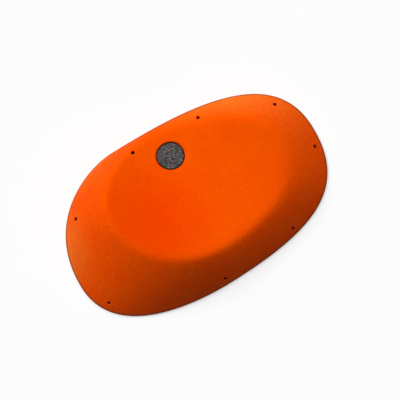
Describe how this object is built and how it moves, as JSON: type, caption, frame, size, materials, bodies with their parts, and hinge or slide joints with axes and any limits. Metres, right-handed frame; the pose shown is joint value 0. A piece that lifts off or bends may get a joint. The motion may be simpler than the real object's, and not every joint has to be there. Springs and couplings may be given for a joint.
{
  "type": "climbing hold",
  "caption": "Large dished sloper hold in orange cast plastic, hollow and ribbed at the back, screwed on round its edge, with a round grey badge let into its face.",
  "frame": {"origin": "centre of the footprint, on the flat back that lies on the wall", "axes": "+Z out of the wall, +X along the footprint towards the lower end of the dish, +Y towards the open, thin side with the badge"},
  "size_m": [0.45, 0.277, 0.075],
  "materials": {
    "cast_orange": "sand-textured cast plastic, fully matte",
    "badge_grey": "moulded dark grey, satin",
    "pad_black": "foam tape, matte",
    "washer_steel": "plain zinc-plated steel"
  },
  "bodies": {
    "root": {"hold_shell": "cast_orange", "badge": "badge_grey", "badge_adhesive_pad": "pad_black", "screw_washer_1": "washer_steel", "screw_washer_2": "washer_steel", "screw_washer_3": "washer_steel", "screw_washer_4": "washer_steel", "screw_washer_5": "washer_steel", "screw_washer_6": "washer_steel", "screw_washer_7": "washer_steel", "screw_washer_8": "washer_steel"}
  },
  "joints": []
}
